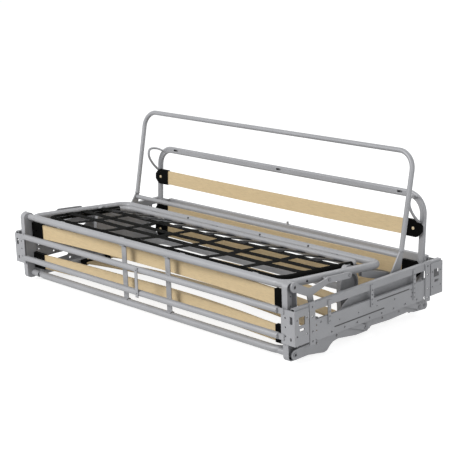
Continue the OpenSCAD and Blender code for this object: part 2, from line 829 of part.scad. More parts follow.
// Plates at the feet of the backrest loop
back_plate_t = 6;
back_plate_in = back_half - back_plate_t / 2;
module backrest_pins() {
    color(steel_dark) both_sides() at_seat() translate([0, back_hinge[0], back_hinge[1]]) {
        rod_x(arm_in - pin_head_t, arm_in, 0, 0, pin_head_r);
        rod_x(arm_in - cut, back_plate_in + back_plate_t + side_gap + cut, 0, 0, pivot_r);
        rod_x(arm_in + arm_t, back_plate_in - side_gap, 0, 0, pin_head_r);
        rod_x(back_plate_in + back_plate_t + side_gap,
            back_plate_in + back_plate_t + side_gap + pin_head_t, 0, 0, pin_head_r);
    }
}

back_foot = 100;
module backrest_plate(side) {
    spigot_r = back_r - tube_wall - seat_gap;
    on_side(side) color(steel) at_backrest() difference() {
        union() {
            plate_x(back_plate_in, back_plate_t) {
                arm([0, 0], [back_foot - 30, -back_offset + 2], 16, back_r);
                polygon([[-10, -back_offset - 6], [back_foot, -back_offset - back_r],
                    [back_foot, -back_offset + back_r], [12, 8], [-12, 8], [-16, -12]]);
            }
            rod_y(back_half, back_foot - 1, back_foot + 24, -back_offset, spigot_r);
        }
        rod_x(back_plate_in - cut, back_plate_in + back_plate_t + cut, 0, 0, pivot_r + run_gap);
        rod_x(back_plate_in - cut, back_plate_in + back_plate_t + cut, 28, -30, 4);
    }
}

module backrest_loop() {
    color(steel) at_backrest() translate([0, 0, -back_offset])
        u_tube(back_half, back_foot + seat_gap, back_len, 70) ring(back_tube_d);
}

// Cross tube between the foot plates, just above the hinge
module backrest_cross_tube() {
    height = 82;
    end = back_plate_in - seat_gap;
    color(steel) at_backrest() difference() {
        rod_x(-end, end, height, -back_offset, back_r);
        rod_x(-end - cut, end + cut, height, -back_offset, back_r - tube_wall);
    }
}

// Prop plates that hang from the seat frame's side tubes
prop_in = loop_half + loop_r + 15;
prop_t = frame_half - frame_r - 5 - prop_in;
module prop_pins() {
    color(steel_dark) both_sides() at_seat() translate([0, prop_pivot[0], prop_pivot[1]]) {
        rod_x(prop_in + prop_t + side_gap, frame_half - frame_r - seat_gap, 0, 0, pin_head_r);
        rod_x(prop_in - side_gap - cut, prop_in + prop_t + side_gap + cut, 0, 0, pivot_r);
        rod_x(prop_in - side_gap - pin_head_t, prop_in - side_gap, 0, 0, pin_head_r);
    }
}

module seat_prop(side) {
    rim = 3;
    top = [8, -58];
    low = [6, -152];
    on_side(side) color(steel) at_seat() translate([0, prop_pivot[0], prop_pivot[1]])
        rotate([seat_slope, 0, 0]) difference() {
            plate_x(prop_in, prop_t) {
                arm([0, 0], top, 14, 50);
                arm(top + [0, -2], low, 51, 47);
            }
            plate_x(prop_in + rim, prop_t) arm(top + [0, -8], low, 46, 43);
            rod_x(prop_in - cut, prop_in + prop_t + cut, 0, 0, pivot_r + run_gap);
            rod_x(prop_in - cut, prop_in + rim + cut, low[0], low[1], 12);
        }
}

// Head frame: an inverted U of oval tube, hinged at its feet
module head_frame() {
    foot = -oval_t / 2;
    color(steel) at_head() difference() {
        u_tube(head_half, foot, head_len, 75) oval_ring();
        both_sides() rod_x(head_half - oval_w, head_half + oval_w, 0, 0, head_pin_r + run_gap);
        // Slots in the front of the top rail
        for (x = [-1, 0, 1] * (head_half - 115))
            box([x - 13, head_len - 2, oval_t / 2 - tube_wall - cut],
                [x + 13, head_len + 6, oval_t / 2 + cut]);
    }
}

// Slats on the front faces of the legs
head_slats_y = [52, 139, head_len - 130];
head_slat_z = oval_t / 2 + seat_gap + cap_t / 2;

module head_slats() {
    color(beech) at_head() for (y = head_slats_y) translate([0, y, head_slat_z]) slat(head_arch);
}

module head_slat_caps() {
    color(black) at_head() for (y = head_slats_y) translate([0, y, head_slat_z])
        slat_caps(head_arch, head_half + 8, 22);
}

// Thin rod hoops that stand forward of the upper corners, to hold a pillow's edge:
// a run square to the frame, a bend, and a slanted run back to the leg
module head_corner_rods() {
    r = 4;
    bend_rod = 18;
    reach = 66;
    face = oval_t / 2 + seat_gap;
    centre = [head_len - 40, reach - bend_rod];
    foot = [head_len - 90, face];
    away = norm(foot - centre);
    turn = 360 + atan2(foot[1] - centre[1], foot[0] - centre[0]) - acos(bend_rod / away);
    lift = r * tan(180 - turn);
    color(steel) both_sides() at_head() translate([head_half - 8, 0, 0]) {
        translate([0, centre[0] + bend_rod, face]) cylinder(h = centre[1] - face, r = r);
        translate([0, centre[0], centre[1]]) rotate([90, 0, 90])
            rotate_extrude(angle = turn) translate([bend_rod, 0]) circle(r = r);
        translate([0, foot[0], foot[1]]) rotate([turn - 180, 0, 0]) translate([0, 0, lift])
            cylinder(h = sqrt(away * away - bend_rod * bend_rod) - lift + 2, r = r - 0.4);
    }
}

bracket_front(-1);  // bracket_front_left
bracket_front(1);  // bracket_front_right
bracket_rear(-1);  // bracket_rear_left
bracket_rear(1);  // bracket_rear_right
front_tube_upper();
front_tube_lower();
front_center_bar();
rear_beam();
rear_tube_lower();
side_rail(-1);  // side_rail_left
side_rail(1);  // side_rail_right
side_beam(-1);  // side_beam_left
side_beam(1);  // side_beam_right
side_posts(-1);  // side_posts_left
side_posts(1);  // side_posts_right
base_pivots(-1);  // base_pivots_left
base_pivots(1);  // base_pivots_right
link(-1, link_pivots_y[0]);  // front_link_left
link(1, link_pivots_y[0]);  // front_link_right
link(-1, link_pivots_y[1]);  // rear_link_left
link(1, link_pivots_y[1]);  // rear_link_right
middle_frame();
middle_plate(-1);  // middle_plate_left
middle_plate(1);  // middle_plate_right
middle_spacers();
middle_pivots(-1);  // middle_pivots_left
middle_pivots(1);  // middle_pivots_right
head_pins();
middle_slats();
middle_slat_caps();
panel_channel(-1);  // panel_channel_left
panel_channel(1);  // panel_channel_right
panel_pins();
panel_slats();
panel_slat_caps();
panel_straps();
seat_frame();
webbing_loop();
webbing();
webbing_hems();
seat_tie_plates();
seat_lever(-1);  // seat_lever_left
seat_lever(1);  // seat_lever_right
lever_bolts();
backrest_arms();
backrest_pins();
prop_pins();
seat_prop(-1);  // seat_prop_left
seat_prop(1);  // seat_prop_right
backrest_loop();
backrest_cross_tube();
backrest_plate(-1);  // backrest_plate_left
backrest_plate(1);  // backrest_plate_right
head_frame();
head_slats();
head_slat_caps();
head_corner_rods();
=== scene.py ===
import json
import math
import random

import bmesh
import bpy
from mathutils import Matrix, Vector


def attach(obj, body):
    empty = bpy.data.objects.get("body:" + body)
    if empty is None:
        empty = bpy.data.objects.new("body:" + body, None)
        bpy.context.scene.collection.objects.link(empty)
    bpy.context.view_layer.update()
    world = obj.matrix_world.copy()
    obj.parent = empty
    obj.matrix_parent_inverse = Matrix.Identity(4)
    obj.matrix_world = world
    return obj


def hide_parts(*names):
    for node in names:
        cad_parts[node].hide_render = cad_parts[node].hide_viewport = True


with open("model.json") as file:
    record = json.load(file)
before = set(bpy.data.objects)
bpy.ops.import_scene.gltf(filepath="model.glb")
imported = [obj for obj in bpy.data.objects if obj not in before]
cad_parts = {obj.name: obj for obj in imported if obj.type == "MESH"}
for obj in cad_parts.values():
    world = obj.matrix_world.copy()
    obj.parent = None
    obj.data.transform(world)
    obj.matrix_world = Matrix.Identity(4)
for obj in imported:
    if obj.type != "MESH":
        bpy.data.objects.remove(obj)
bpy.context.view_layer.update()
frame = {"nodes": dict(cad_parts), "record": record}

# Camera, fitted to the photograph: direction in degrees, place in metres, lens
CAM_AZIMUTH = 46.593
CAM_ELEVATION = 14.897
CAM_ROLL = -1.932
CAM_PLACE = (3.8012, -3.0916, 1.5061)
CAM_LENS, CAM_SENSOR, CAM_SIGHT = 101.13, 36, 60

# Stage, in metres: floor, sky, and lamps with their place, width and power
FLOOR_Z, FLOOR_HALF = -0.15, 20
FLOOR_SHADE, FLOOR_GLOW = (0.5, 0.5, 0.5, 1), 0.8
SKY, SKY_POWER = (0.97, 0.98, 1.0, 1), 0.46
WHITE = (1, 1, 1, 1)
LAMP_AIM = Vector((0, 0.3, 0.1))
LAMPS = (
    ("key", (-1.15, -4.1, 3.1), 2.4, 222),
    ("fill", (4.4, -0.3, 1.3), 2.2, 38),
    ("rim", (0.4, 3.2, 2.8), 2.2, 34),
)

# Colours, linear
STEEL = (0.335, 0.338, 0.351)
PLATED = (0.17, 0.172, 0.18)
BLACKENED = (0.03, 0.03, 0.032)
BEECH = (0.66, 0.515, 0.305)
BLACK = (0.0018, 0.0018, 0.0018)
WEB_BLACK = (0.0048, 0.005, 0.0046)
TAB_GREY = (0.045, 0.045, 0.047)
THREAD = (0.02, 0.02, 0.019)
RIVET_BEIGE = (0.62, 0.5, 0.32)

# From here on lengths are in millimetres and angles in degrees
MM = 1000  # in a metre

# Sizes of the CAD model that the pieces here follow
CAGE_D = 844
PANEL_Y, PANEL_DEPTH, PANEL_TOP, PANEL_LOW = 39, 15, 139, 113
SEAT_SLOPE, SEAT_LEN = 4.65, 531
HEAD_Y, HEAD_LEAN, HEAD_RISE = 781, 3.8, 16.2
BACK_LEAN, BACK_OFFSET, BACK_FOOT = 11.75, 40, (36, -53)
FRAME_HALF, FRAME_R = 762, 15
SIDE_FACE = 841
# Pressed creases of the side beams (start, end, height), drawn as painted shade in their coat
CREASES = ((212, 492, -44.5), (452, 642, -6.5))
LOOP_HALF, LOOP_FRONT, LOOP_REAR, LOOP_BEND = 697, 43, 478, 45
WEB_MID, WEB_TOP = 11.4, 12.6
COLUMN_PITCH = 2 * LOOP_HALF / 7
SLAT_HALF, SLAT_T, SLAT_PLIES = 716, 8, 3
MIDDLE_ARCH, PANEL_ARCH, HEAD_ARCH = 35, 30, 12
MIDDLE_SLATS = [130 + 138 * i for i in range(4)]
PANEL_SLATS = [-56, 79]
HEAD_SLATS = [52, 139, 304]
FRONT_LUGS = [s * ((i + 0.5) * COLUMN_PITCH + 85) for s in (-1, 1) for i in (0, 2)]
REAR_LUGS = [s * ((i + 0.5) * COLUMN_PITCH + 43) for s in (-1, 1) for i in (0, 2)]
SIDE_TIES = (392, 417)

# The net as the photograph shows it, in the seat's plane
COLUMNS = [204 * (i - 2.5) for i in range(6)]
ROWS = [155, 237, 336]
TABS = [(k + 0.5) * COLUMN_PITCH - LOOP_HALF for k in range(7)]
COLUMN_W, ROW_W, TAB_W = 36, 40, 50
ROWS_END = ROWS[-1] + ROW_W / 2
STRAP_T, HEM_T = 1.2, 2.2
WEAVE_HALF = 0.62  # a strap's way up or down from the net's middle at a crossing
STRAP_OVER, STRAP_FLAT, STRAP_DOWN, STRAP_RISE = 2, 3, 18, 0.7  # a strap's end on the hem
TAB_LAP, TAB_RISE = 30, 0.9
SAG_DEPTH, SAG_PAST = 4, 18
SLEEVE, DIP_END = (20, 372), 400  # angles where the hem and a strap's wrap begin or end
TIE_HALF, TIE_ROOM, TIE_OPEN = 16, 2, 6

# Stitches: pitch, share of it that shows, depth in the cloth, and place, rise and half
# width along one stitch; rows of them inwards from the bar and from a tab's seam
STITCH_PITCH, STITCH_SHARE, STITCH_SUNK = 5.2, 0.66, 0.3
STITCH_FORM = ((-0.5, 0.0, 0.2), (0.0, 0.45, 0.38), (0.5, 0.0, 0.2))
HEM_SEAMS, HEM_INSET = (-1, 3), 3
TAB_SEAMS, TAB_INSET = (27, 4), 4

# Corner rods of the head section: sideways, height and distance out along the curve
ROD_X, ROD_R = 772, 5.4
ROD_CURVE = [(736, 420, 6), (760, 438, 40), (ROD_X, 436, 74), (ROD_X, 404, 80),
             (ROD_X, 362, 52), (ROD_X, 322, 6)]

# Rivets and screws: radius and height of each head, and where it sits
RIVET_STEM, RIVET_HEAD = (3.9, -9), (6.6, 2.6)
SCREW_HEAD, SCREW_LEAN, SCREW_SUNK = (4.6, 2.2), 150, 0.3
REAR_SCREWS, SIDE_SCREW_Y, SIDE_SCREW_RISE = (-320, 124, 397), 101, 0.12
BEAM_RIVET, BEAM_RIVETS, BEAM_RIVET_Z = (5, 1.5), (140, 462), -6.5
POST_RIVET, POST_RIVET_X, POST_RIVET_Z, POST_RIVET_IN = (5, 2), 823, 59, 17

# Weld beads: step and sides, how they swell and vary, and their radii
BEAD_STEP, BEAD_SIDES, BEAD_SKEW = 2.4, 7, Vector((0.31, 0.52, 0.79))
BEAD_END, BEAD_WAVE, BEAD_UNEVEN = 0.55, 0.16, 0.08
TUBE_BEAD, POST_BEAD, STRAP_BEAD, LUG_BEAD, RING_BEAD = 1.7, 1.5, 1.3, 1.2, 1.4

# Where the beads lie on the cage: y, z and half length at the tubes' ends, then edges
TUBE_END_X = 793.5
TUBE_ENDS = ((-0.6, 57, 9), (-0.6, -39, 9), (CAGE_D + 0.6, -39, 9), (CAGE_D + 0.6, 48.5, 12))
SIDE_WELD_X = SIDE_FACE + 0.5
POST_EDGES, POST_SPANS = (78, 107, 737, 766), ((47, 71), (-68, 4))
STRAP_EDGES, STRAP_SPAN = (176, 191, 412, 427, 663, 678), (48, 62)

# Where they lie on the seat's lugs and tie plates, the backrest's cross tube and the spacers
LUG_HALF, LUG_TOP = 12, 2.2
FRONT_LUG_EDGES, REAR_LUG_EDGES = (15.5, 32.5), (488.6, 515.5)
TIE_EDGES, TIE_SPAN = (707.6, 746.4), (394, 415)
CROSS_WELDS, CROSS_R = (((788, 101), (0, 1, 0)), ((784.2, 82), (1, 0, 0))), 10.4
SPACERS, SPACER_X, SPACER_R = (135, 445, 690), 803.3, 8.5

# Numbers of steps along and round the pieces
COLUMN_STEPS, ROW_STEPS, TAB_STEPS, DIP_STEPS = 44, 140, 6, 14
HEM_ROUND, HEM_BEND, HEM_FRONT, HEM_SIDE = 26, 9, 60, 24
ROD_STEPS, ROD_SIDES, RING_STEPS, LATHE_SIDES = 7, 14, 22, 20

SHARP_ANGLE = 38
RANDOM = random.Random(7)
ALONG = Vector((1, 0, 0))


def moved(x, y, z):
    return Matrix.Translation((x, y, z))


def turned(angle):
    return Matrix.Rotation(math.radians(angle), 4, "X")


# Planes of the sections at rest
CAGE = Matrix()
SEAT = moved(0, PANEL_Y, PANEL_TOP) @ turned(-SEAT_SLOPE)
MIDDLE = moved(0, PANEL_Y, -PANEL_LOW)
PANEL = moved(0, PANEL_Y + PANEL_DEPTH, 0) @ turned(-90)
HEAD = moved(0, HEAD_Y, -PANEL_LOW) @ turned(90 - HEAD_LEAN)
HEAD_FACE = HEAD @ moved(0, 0, HEAD_RISE)
BACK = (SEAT @ moved(0, SEAT_LEN + BACK_FOOT[0], BACK_FOOT[1])
        @ turned(90 - BACK_LEAN + SEAT_SLOPE))


def add_camera():
    """Puts the camera at the photograph's viewing angle."""
    az, el, roll = (math.radians(a) for a in (CAM_AZIMUTH, CAM_ELEVATION, CAM_ROLL))
    back = Vector((math.sin(az) * math.cos(el), -math.cos(az) * math.cos(el), math.sin(el)))
    right = (-back).cross(Vector((0, 0, 1))).normalized()
    up = right.cross(-back)
    turned_right = math.cos(roll) * right + math.sin(roll) * up
    turned_up = -math.sin(roll) * right + math.cos(roll) * up
    camera = bpy.data.objects.new("camera", bpy.data.cameras.new("camera"))
    bpy.context.collection.objects.link(camera)
    camera.matrix_world = Matrix.LocRotScale(
        Vector(CAM_PLACE), Matrix((turned_right, turned_up, back)).transposed(), None
    )
    camera.data.lens = CAM_LENS
    camera.data.sensor_width = CAM_SENSOR
    camera.data.clip_end = CAM_SIGHT
    bpy.context.scene.camera = camera


class Nodes:
    """A short way to build a node material. Its lengths are in metres."""

    def __init__(self, name):
        self.material = bpy.data.materials.new(name)
        self.material.use_nodes = True
        self.tree = self.material.node_tree
        self.tree.nodes.clear()
        self.output = self.add("ShaderNodeOutputMaterial")
        self.shader = self.add("ShaderNodeBsdfPrincipled")
        self.link(self.shader.outputs[0], self.output.inputs["Surface"])
        self.place = self.add("ShaderNodeTexCoord").outputs["Object"]

    def add(self, kind, **values):
        node = self.tree.nodes.new(kind)
        for key, value in values.items():
            setattr(node, key, value)
        return node

    def link(self, source, target):
        self.tree.links.new(source, target)

    def feed(self, socket, value):
        """Links an output to a socket, or sets the socket to a number or vector."""
        if isinstance(value, bpy.types.NodeSocket):
            self.link(value, socket)
        else:
            socket.default_value = value

    def scaled(self, scale):
        mapping = self.add("ShaderNodeMapping")
        mapping.inputs["Scale"].default_value = scale
        self.link(self.place, mapping.inputs["Vector"])
        return mapping.outputs[0]

    def noise(self, scale, detail, stretch=(1, 1, 1)):
        node = self.add("ShaderNodeTexNoise")
        node.inputs["Scale"].default_value = scale
        node.inputs["Detail"].default_value = detail
        self.link(self.scaled(stretch), node.inputs["Vector"])
        return node.outputs["Fac"]

    def ramp(self, source, stops):
        node = self.add("ShaderNodeValToRGB")
        while len(node.color_ramp.elements) < len(stops):
            node.color_ramp.elements.new(0.5)
        for element, (place, colour) in zip(node.color_ramp.elements, stops):
            element.position = place
            element.color = (*colour, 1)
        self.link(source, node.inputs["Fac"])
        return node.outputs["Color"]

    def range(self, source, low, high, start=0.0, end=1.0):
        """Runs from low to high while the source runs from start to end."""
        node = self.add("ShaderNodeMapRange")
        node.inputs["From Min"].default_value = start
        node.inputs["From Max"].default_value = end
        node.inputs["To Min"].default_value = low
        node.inputs["To Max"].default_value = high
        self.link(source, node.inputs["Value"])
        return node.outputs["Result"]

    def math(self, operation, first, second=0.0):
        node = self.add("ShaderNodeMath", operation=operation)
        self.feed(node.inputs[0], first)
        self.feed(node.inputs[1], second)
        return node.outputs[0]

    def away(self, source, middle):
        """Distance from a value, on either side of it."""
        return self.math("ABSOLUTE", self.math("SUBTRACT", source, middle))

    def dot(self, first, second):
        node = self.add("ShaderNodeVectorMath", operation="DOT_PRODUCT")
        self.feed(node.inputs[0], first)
        self.feed(node.inputs[1], second)
        return node.outputs["Value"]

    def mix(self, factor, first, second, blend="MIX"):
        node = self.add("ShaderNodeMix", data_type="RGBA", blend_type=blend)
        self.feed(node.inputs["Factor"], factor)
        for name, value in (("A", first), ("B", second)):
            socket = [s for s in node.inputs if s.name == name and s.type == "RGBA"][0]
            self.feed(socket, value)
        return [s for s in node.outputs if s.type == "RGBA"][0]

    def axes(self):
        """Outputs X, Y and Z of a point on the model."""
        node = self.add("ShaderNodeSeparateXYZ")
        self.link(self.place, node.inputs[0])
        return node.outputs

    def rounding(self, radius):
        node = self.add("ShaderNodeBevel", samples=4)
        node.inputs["Radius"].default_value = radius
        return node.outputs[0]

    def edges(self, radius):
        """1 on sharp edges, 0 on flat and gently curved faces."""
        round_normal = self.rounding(radius)
        normal = self.add("ShaderNodeNewGeometry").outputs["Normal"]
        return self.range(self.dot(round_normal, normal), 1.0, 0.0, start=0.86, end=0.995)

    def bump(self, height, distance, strength, edge=None):
        node = self.add("ShaderNodeBump")
        node.inputs["Distance"].default_value = distance
        node.inputs["Strength"].default_value = strength
        self.link(height, node.inputs["Height"])
        if edge:
            self.link(self.rounding(edge), node.inputs["Normal"])
        self.link(node.outputs[0], self.shader.inputs["Normal"])

    def colour(self, source):
        self.link(source, self.shader.inputs["Base Color"])

    def rough(self, source):
        self.link(source, self.shader.inputs["Roughness"])

    def set(self, **values):
        for key, value in values.items():
            name = "Specular IOR Level" if key == "spec" else key.capitalize()
            self.shader.inputs[name].default_value = value


def shade(colour, factor):
    return tuple(c * factor for c in colour)


def grey(level):
    return (level, level, level)


def coated_steel(name, creases=()):
    """Satin grey powder coat: orange peel, faint cloudiness, thinner and lighter on edges.

    creases are pressed lines along Y, each with its start, end and height; their shade is
    painted into the coat as a dark line.
    """
    m = Nodes(name)
    cloud = m.ramp(m.noise(7, 4), [(0.3, shade(STEEL, 0.94)), (0.7, shade(STEEL, 1.05))])
    fleck = m.ramp(m.noise(700, 1), [(0.35, grey(0.93)), (0.65, grey(1.05))])
    body = m.mix(0.8, cloud, fleck, "MULTIPLY")
    rubbed = m.edges(radius=0.0016)
    worn = m.math("MULTIPLY", rubbed, m.range(m.noise(55, 3), 0.0, 0.8, start=0.35, end=0.65))
    coat = m.mix(worn, body, (*shade(STEEL, 1.28), 1))
    if creases:
        at = m.axes()
    for start, end, height in creases:
        reach = (end - start) / 2 / MM
        off = m.away(at["Z"], height / MM)
        past = m.away(at["Y"], (start + end) / 2 / MM)
        # Painted shade: a mask that is 1 along each crease, where the coat is darkened to a
        # fifth of its colour
        inside = m.math("MULTIPLY", m.range(off, 1.0, 0.0, start=0.0016, end=0.0034),
                        m.range(past, 1.0, 0.0, start=reach, end=reach + 0.001))
        coat = m.mix(inside, coat, (*shade(STEEL, 0.2), 1))
    m.colour(coat)
    m.rough(m.range(m.noise(60, 2), low=0.40, high=0.54))
    m.set(metallic=0.12, spec=0.45)
    m.bump(m.noise(900, 2), distance=0.00012, strength=0.35, edge=0.0012)
    return m.material


def zinc(name, colour):
    """Plated fasteners and hinge pins: cloudy grey metal, brighter where it rubs."""
    m = Nodes(name)
    cloud = m.ramp(m.noise(120, 3), [(0.35, shade(colour, 0.8)), (0.7, shade(colour, 1.4))])
    m.colour(m.mix(m.edges(radius=0.0008), cloud, (*shade(colour, 2.1), 1)))
    m.rough(m.range(m.noise(300, 2), low=0.30, high=0.45))
    m.set(metallic=0.7)
    m.bump(m.noise(1500, 2), distance=0.00006, strength=0.4, edge=0.0006)
    return m.material


def weld(name):
    """Coated weld bead: the same coat over a lumpy seam."""
    m = Nodes(name)
    m.colour(m.ramp(m.noise(300, 3), [(0.3, shade(STEEL, 0.72)), (0.7, shade(STEEL, 1.0))]))
    m.rough(m.range(m.noise(200, 2), low=0.42, high=0.6))
    m.set(metallic=0.12, spec=0.45)
    m.bump(m.noise(800, 3), distance=0.0004, strength=0.6)
    return m.material


def beech(name, place, arch):
    """Bent beech plywood: grain along X, flecks, and glue lines on the cut edges.

    place is the plane from which a slat's arch rises along its own Z.
    """
    m = Nodes(name)
    grain = m.noise(26, 6, stretch=(1.2, 14, 14))
    flecks = m.noise(240, 3, stretch=(0.35, 3, 3))
    light = m.ramp(grain, [(0.25, shade(BEECH, 0.88)), (0.55, BEECH), (0.8, shade(BEECH, 1.07))])
    dark = m.ramp(flecks, [(0.60, (1, 1, 1)), (0.72, (0.82, 0.74, 0.62))])
    face = m.mix(0.6, light, dark, "MULTIPLY")

    normal = place.to_3x3() @ Vector((0, 0, 1))
    origin = place.translation.dot(normal) + arch
    squared = m.math("POWER", m.math("ABSOLUTE", m.axes()["X"]), 2.0)
    bend = m.math("MULTIPLY", squared, arch * MM / SLAT_HALF ** 2)
    depth = m.math("ADD", m.math("SUBTRACT", m.dot(m.place, normal), origin / MM), bend)
    plies = m.math("COSINE", m.math("MULTIPLY", depth, math.tau * SLAT_PLIES * MM / SLAT_T))
    glue = m.range(plies, 0.0, 0.55, start=0.80, end=0.98)
    m.colour(m.mix(glue, face, (*shade(BEECH, 0.42), 1)))
    m.rough(m.range(grain, low=0.44, high=0.60))
    m.set(spec=0.35)
    m.bump(m.math("ADD", grain, flecks), distance=0.0002, strength=0.35, edge=0.0015)
    return m.material


def black_plastic(name):
    """Moulded black plastic with a fine spark-eroded grain and faintly rubbed edges."""
    m = Nodes(name)
    mottle = m.ramp(m.noise(40, 3), [(0.3, shade(BLACK, 0.8)), (0.7, shade(BLACK, 1.4))])
    m.colour(m.mix(m.edges(radius=0.001), mottle, (*shade(BLACK, 4), 1)))
    m.rough(m.range(m.noise(400, 2), low=0.52, high=0.68))
    m.set(spec=0.03)
    m.bump(m.noise(2500, 2), distance=0.0001, strength=0.4, edge=0.001)
    return m.material


def woven(name, colour):
    """Elastic webbing or thread: cords lengthwise, weft ribs across, a trace of fuzz."""
    m = Nodes(name)
    waves = []
    for direction, distortion in (("X", 0.5), ("Y", 0.8)):
        wave = m.add("ShaderNodeTexWave", wave_type="BANDS", bands_direction=direction)
        wave.inputs["Scale"].default_value = 170
        wave.inputs["Distortion"].default_value = distortion
        m.link(m.place, wave.inputs["Vector"])
        waves.append(wave.outputs["Fac"])
    weave = m.math("MULTIPLY", *waves)
    tone = m.ramp(weave, [(0.1, shade(colour, 0.5)), (0.8, shade(colour, 1.9))])
    dust = m.ramp(m.noise(14, 3), [(0.4, grey(0.85)), (0.75, (1.25, 1.25, 1.22))])
    m.colour(m.mix(0.8, tone, dust, "MULTIPLY"))
    m.rough(m.range(weave, low=0.95, high=0.78))
    m.set(spec=0.06)
    m.bump(weave, distance=0.0004, strength=0.6)
    return m.material


def beige_rivet(name):
    """Slat rivets: a slightly uneven colour with fine grain."""
    m = Nodes(name)
    m.colour(m.ramp(m.noise(150, 3), [(0.3, shade(RIVET_BEIGE, 0.82)),
                                      (0.7, shade(RIVET_BEIGE, 1.12))]))
    m.rough(m.range(m.noise(300, 2), low=0.32, high=0.46))
    m.set(spec=0.4)
    m.bump(m.noise(1200, 2), distance=0.00008, strength=0.4)
    return m.material


MATERIALS = {
    "coated_steel": coated_steel("coated steel"),
    "zinc": zinc("zinc", PLATED),
    "cap_plastic": black_plastic("cap plastic"),
    "webbing": woven("webbing weave", WEB_BLACK),
}
# Coat with painted shade along the side beams' creases
CREASE_SHADED_STEEL = coated_steel("steel with painted crease shade", CREASES)
OWN_MATERIALS = {
    "side_beam_left": CREASE_SHADED_STEEL,
    "side_beam_right": CREASE_SHADED_STEEL,
    "middle_slats": beech("beech, middle", MIDDLE, MIDDLE_ARCH),
    "panel_slats": beech("beech, panel", PANEL, PANEL_ARCH),
    "head_slats": beech("beech, head", HEAD_FACE, HEAD_ARCH),
}
WELD = weld("weld bead")
TAB_WEAVE = woven("tab weave", TAB_GREY)
THREADS = woven("thread", THREAD)
RIVET = beige_rivet("beige rivet")
DARK_SCREW = zinc("blackened screw", BLACKENED)


def dress_nodes():
    """Gives every CAD node its own material, or the one of its slot in the record."""
    for part in frame["record"]["subparts"]:
        name = part["node"]
        node = frame["nodes"][name]
        if not node.material_slots:
            node.data.materials.append(None)
        for socket in node.material_slots:
            socket.material = OWN_MATERIALS.get(name) or MATERIALS[part["material_slot"]]


def circle(centre, first, second, radius, count):
    """Points round a centre, in the plane of two unit vectors."""
    return [centre + radius * (math.cos(math.tau * k / count) * first
                               + math.sin(math.tau * k / count) * second)
            for k in range(count)]


def way(path, i):
    """Direction of a path at one of its points, not yet of unit length."""
    return path[min(i + 1, len(path) - 1)] - path[max(i - 1, 0)]


class Shape:
    """Points in millimetres and faces of one piece, drawn in a plane of the model."""

    def __init__(self, place=CAGE):
        self.place = place
        self.points = []
        self.faces = []

    def add(self, points, faces):
        first = len(self.points)
        self.points += [self.place @ Vector(p) for p in points]
        self.faces += [[first + i for i in face] for face in faces]

    def rings(self, rings, closed=False):
        """Joins equal rings of points into one skin, capped unless it is closed."""
        count = len(rings[0])
        total = len(rings) * count
        faces = []
        for i in range(len(rings) if closed else len(rings) - 1):
            a, b = i * count, (i + 1) % len(rings) * count
            faces += [[a + k, a + (k + 1) % count, b + (k + 1) % count, b + k]
                      for k in range(count)]
        if not closed:
            faces += [list(range(count))[::-1], list(range(total - count, total))]
        self.add([p for ring in rings for p in ring], faces)

    def lathe(self, origin, axis, profile, around=LATHE_SIDES):
        """Turned solid from pairs of radius and height along the axis."""
        axis = Vector(axis).normalized()
        side = axis.orthogonal().normalized()
        up = axis.cross(side)
        self.rings([circle(Vector(origin) + axis * height, side, up, radius, around)
                    for radius, height in profile])

    def ribbon(self, path, across, width, thick):
        """Strap with rounded edges along a path; its width lies along across."""
        path, across = [Vector(p) for p in path], Vector(across)
        rings = []
        for i, point in enumerate(path):
            normal = way(path, i).normalized().cross(across).normalized()
            ring = []
            for side in (1, -1):
                for turn in range(-90, 91, 45):
                    angle = math.radians(turn if side > 0 else turn + 180)
                    ring.append(point + across * (side * (width - thick) / 2
                                                  + thick / 2 * math.cos(angle))
                                + normal * thick / 2 * math.sin(angle))
            rings.append(ring)
        self.rings(rings)

    def bead(self, path, radius, closed=False):
        """Weld bead: a lumpy round seam along a path."""
        path = [Vector(p) for p in path]
        count = len(path)
        rings = []
        for i, point in enumerate(path):
            tangent = path[(i + 1) % count] - path[i - 1] if closed else way(path, i)
            side = tangent.cross(BEAD_SKEW).normalized()
            up = tangent.normalized().cross(side)
            end = BEAD_END if not closed and i in (0, count - 1) else 1
            swelling = 1 + BEAD_WAVE * (i % 2) + RANDOM.uniform(-BEAD_UNEVEN, BEAD_UNEVEN)
            rings.append(circle(point, side, up, end * radius * swelling, BEAD_SIDES))
        self.rings(rings, closed)

    def shell(self, grid, normals, thick, keep):
        """Sheet of cells, thick on both sides of a grid, closed along every open edge."""
        rows, cols = len(grid), len(grid[0])
        points = [p + n * side * thick / 2 for side in (1, -1)
                  for line, slants in zip(grid, normals) for p, n in zip(line, slants)]
        cells = {(i, j) for i in range(rows - 1) for j in range(cols - 1) if keep(i, j)}
        below = rows * cols
        faces = []
        for i, j in sorted(cells):
            a, b = i * cols + j, (i + 1) * cols + j
            faces += [[a, b, b + 1, a + 1], [below + a, below + a + 1, below + b + 1, below + b]]
            for beside, (p, q) in (((i - 1, j), (a, a + 1)), ((i + 1, j), (b + 1, b)),
                                   ((i, j - 1), (b, a)), ((i, j + 1), (a + 1, b + 1))):
                if beside not in cells:
                    faces.append([p, q, below + q, below + p])
        self.add(points, faces)

    def piece(self, name, body, material, replaces=()):
        """Makes the object, lets it ride on its body and hides the CAD nodes it stands for."""
        mesh = bpy.data.meshes.new(name)
        mesh.from_pydata([tuple(c / MM for c in p) for p in self.points], [], self.faces)
        skin = bmesh.new()
        skin.from_mesh(mesh)
        loose = [v for v in skin.verts if not v.link_faces]
        bmesh.ops.delete(skin, geom=loose, context="VERTS")
        bmesh.ops.recalc_face_normals(skin, faces=skin.faces)
        skin.to_mesh(mesh)
        skin.free()
        for face in mesh.polygons:
            face.use_smooth = True
        mesh.set_sharp_from_angle(angle=math.radians(SHARP_ANGLE))
        mesh.materials.append(material)
        made = bpy.data.objects.new(name, mesh)
        bpy.context.collection.objects.link(made)
        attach(made, body)
        if replaces:
            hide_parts(*replaces)


def steps(start, end, count):
    return [start + (end - start) * k / count for k in range(count + 1)]


